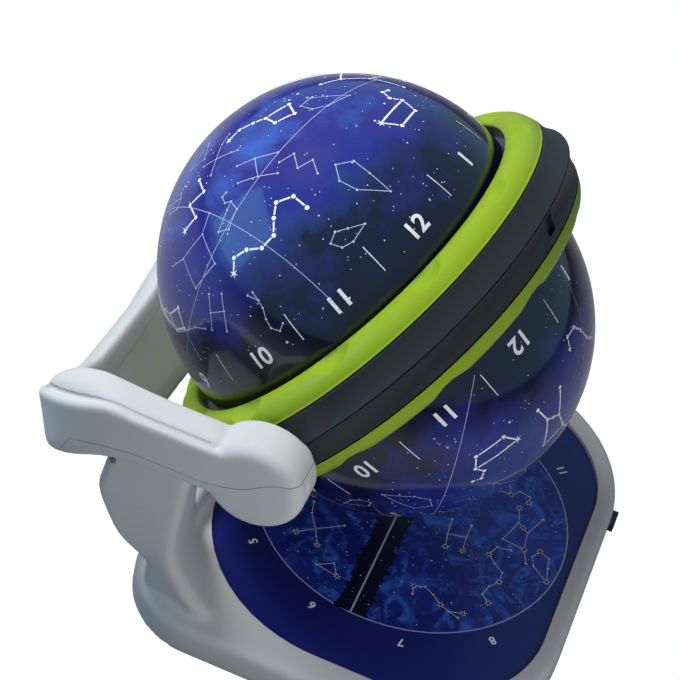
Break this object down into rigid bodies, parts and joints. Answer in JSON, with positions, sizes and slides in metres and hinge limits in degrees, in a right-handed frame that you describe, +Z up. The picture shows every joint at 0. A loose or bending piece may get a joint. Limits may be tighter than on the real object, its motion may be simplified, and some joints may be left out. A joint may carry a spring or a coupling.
{
  "type": "planetarium projector",
  "caption": "Tabletop star projector: a sphere of two turning star domes in a tilting equator band, held by a fork with a rear bow on a base with a recessed map.",
  "frame": {"origin": "centre of the outer box at the level the feet stand on", "axes": "+Z up, front (map and power switch) towards -Y, tilt axis along X"},
  "size_m": [0.2812, 0.267, 0.2457],
  "materials": {
    "dome_plastic": "gloss print on clear moulding",
    "green_plastic": "satin",
    "black_plastic": "satin",
    "grey_plastic": "satin",
    "board": "satin",
    "lens": "clear",
    "zinc_steel": "zinc plated",
    "turned_steel": "turned",
    "bush_plastic": "natural acetal",
    "contact_steel": "nickel plated",
    "cell_jacket": "plain jacket",
    "foot_rubber": "matte",
    "printed_panel": "gloss print"
  },
  "bodies": {
    "base": {"base_cover": "grey_plastic", "base_shell": "grey_plastic", "battery_contact_left": "contact_steel", "battery_contact_right": "contact_steel", "battery_door": "grey_plastic", "cell_left": "cell_jacket", "cell_middle": "cell_jacket", "cell_right": "cell_jacket", "circuit_board": "board", "cover_screws": "zinc_steel", "door_screw": "zinc_steel", "foot_front_left": "foot_rubber", "foot_front_right": "foot_rubber", "foot_rear_left": "foot_rubber", "foot_rear_right": "foot_rubber", "fork_lower_shell": "grey_plastic", "fork_screws": "zinc_steel", "fork_upper_shell": "grey_plastic", "leg_screws": "zinc_steel", "map_panel": "printed_panel", "pivot_bush_left": "bush_plastic", "pivot_bush_right": "bush_plastic", "switch_body": "black_plastic"},
    "tilt_ring": {"band_upper_half": "black_plastic", "band_lower_half": "black_plastic", "pivot_pin_left": "turned_steel", "pivot_pin_right": "turned_steel", "lamp_bridge": "black_plastic", "band_screws": "zinc_steel", "north_lamp_board": "board", "north_lamp_post": "black_plastic", "north_led": "lens", "south_lamp_board": "board", "south_lamp_post": "black_plastic", "south_led": "lens"},
    "north_star_dome": {"north_dome": "dome_plastic", "north_finger_ring": "green_plastic", "north_retainer": "black_plastic"},
    "south_star_dome": {"south_dome": "dome_plastic", "south_finger_ring": "green_plastic", "south_retainer": "black_plastic"},
    "power_switch": {"switch_knob": "black_plastic"}
  },
  "joints": [
    {"name": "sphere_tilt", "type": "hinge", "parent": "base", "child": "tilt_ring", "pos_m": [0, 0.01125, 0.145], "axis": [1, 0, 0], "range_deg": [-124.3, 145.7]},
    {"name": "north_dome_spin", "type": "hinge", "parent": "tilt_ring", "child": "north_star_dome", "pos_m": [0, 0.01125, 0.145], "axis": [0, 0.8261, 0.5635], "continuous": true},
    {"name": "south_dome_spin", "type": "hinge", "parent": "tilt_ring", "child": "south_star_dome", "pos_m": [0, 0.01125, 0.145], "axis": [0, 0.8261, 0.5635], "continuous": true},
    {"name": "power_slide", "type": "slide", "parent": "base", "child": "power_switch", "axis": [1, 0, 0], "range_m": [0, 0.005]}
  ]
}
